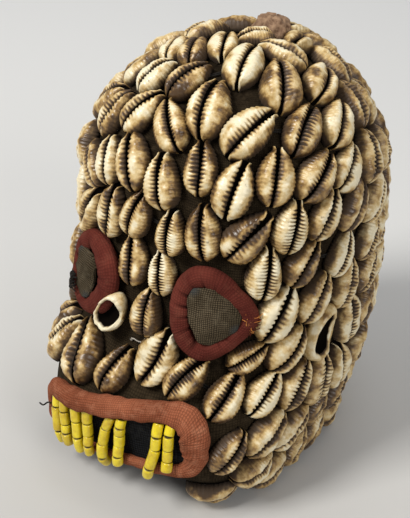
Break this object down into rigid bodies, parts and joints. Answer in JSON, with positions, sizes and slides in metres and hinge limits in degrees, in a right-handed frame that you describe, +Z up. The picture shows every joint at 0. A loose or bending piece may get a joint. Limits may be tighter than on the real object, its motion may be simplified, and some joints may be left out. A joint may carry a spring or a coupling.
{
  "type": "crest mask",
  "caption": "Hollow cloth hood sewn all over with cowrie shells, with padded eye rings and a padded mouth set with bead strings for teeth.",
  "frame": {"origin": "on the floor under the middle of the mask, level with the hood's lower rim", "axes": "+Z up, face towards -Y, the mask's own left towards +X"},
  "size_m": [0.1409, 0.1921, 0.1966],
  "materials": {
    "hood_cloth": "dark woven cloth, worn and dusty",
    "eye_ring_cloth": "felted dull red cloth over stuffing",
    "eye_cloth": "grey-olive plain weave",
    "mouth_roll_cloth": "rust-coloured woven cloth over stuffing",
    "mouth_cloth": "blue-black plain weave",
    "bead": "opaque glossy glass",
    "shell": "polished shell with dirt in the teeth",
    "lump": "hard coarse knot of cloth and resin"
  },
  "bodies": {
    "root": {"hood": "hood_cloth", "right_eye_ring": "eye_ring_cloth", "left_eye_ring": "eye_ring_cloth", "right_eye_cloth": "eye_cloth", "left_eye_cloth": "eye_cloth", "mouth_roll": "mouth_roll_cloth", "mouth_cloth": "mouth_cloth", "tooth_string_1": "bead", "tooth_string_2": "bead", "tooth_string_3": "bead", "tooth_string_4": "bead", "tooth_string_5": "bead", "tooth_string_6": "bead", "tooth_string_7": "bead", "tooth_string_8": "bead", "rim_shells": "shell", "jaw_shells": "shell", "cheek_shells": "shell", "low_side_shells": "shell", "side_shells": "shell", "brow_shells": "shell", "forehead_shells": "shell", "upper_forehead_shells": "shell", "lower_crown_shells": "shell", "crown_shells": "shell", "nose_shells": "shell", "lip_shells": "shell", "near_cheek_shells": "shell", "under_eye_shell": "shell", "crown_top_shells": "shell", "broken_nose_shell": "shell", "broken_side_shell": "shell", "crown_lump": "lump"}
  },
  "joints": []
}
